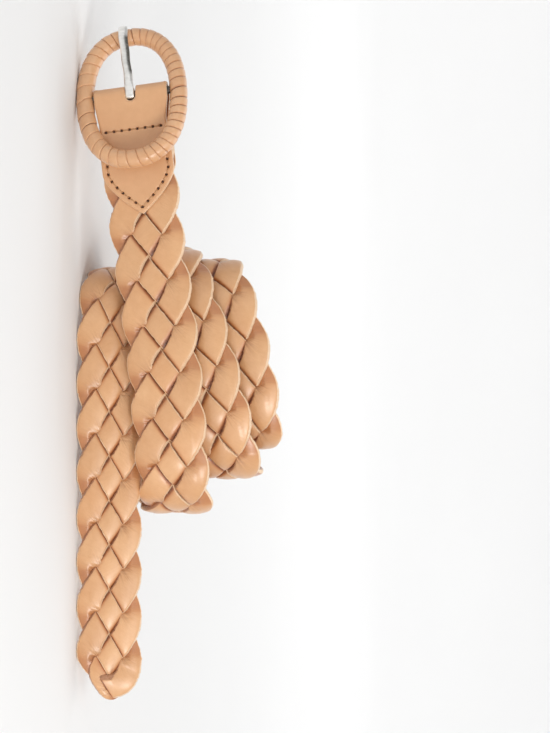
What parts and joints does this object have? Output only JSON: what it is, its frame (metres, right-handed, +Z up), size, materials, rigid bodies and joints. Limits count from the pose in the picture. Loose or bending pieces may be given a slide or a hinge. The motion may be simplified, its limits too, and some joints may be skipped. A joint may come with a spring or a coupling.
{
  "type": "belt",
  "caption": "Braided leather belt with a leather-wrapped oval centre-bar buckle, metal tongue and stitched pointed chape, shown as a loose coil standing on its edge.",
  "frame": {"origin": "on the surface the coil stands on, under the middle of the part's bounding box", "axes": "+X runs from the buckle to the tail tip, +Y goes from the front run into the coil, +Z is up, across the strap's width"},
  "size_m": [0.319, 0.1012, 0.0933],
  "materials": {
    "leather": "smooth vegetable-tanned grain",
    "lace": "smooth vegetable-tanned grain",
    "steel": "bright drawn wire",
    "nickel": "polished nickel plate",
    "thread": "waxed polyester thread"
  },
  "bodies": {
    "strap": {"chape": "leather", "strand_1": "leather", "strand_2": "leather", "strand_3": "leather", "strand_4": "leather", "bar_stitch": "thread", "contour_stitch": "thread"},
    "buckle": {"buckle_frame": "steel", "centre_bar": "steel", "buckle_lace": "lace"},
    "prong": {"tongue": "nickel"}
  },
  "joints": [
    {"name": "buckle_pivot", "type": "hinge", "parent": "strap", "child": "buckle", "pos_m": [-0.12563, -0.03361, 0.02601], "axis": [0.1191, 0, -0.9929], "range_deg": [0, 80]},
    {"name": "tongue_pivot", "type": "hinge", "parent": "buckle", "child": "prong", "pos_m": [-0.12563, -0.03361, 0.02601], "axis": [-0.1191, 0, 0.9929], "range_deg": [0, 95]}
  ]
}
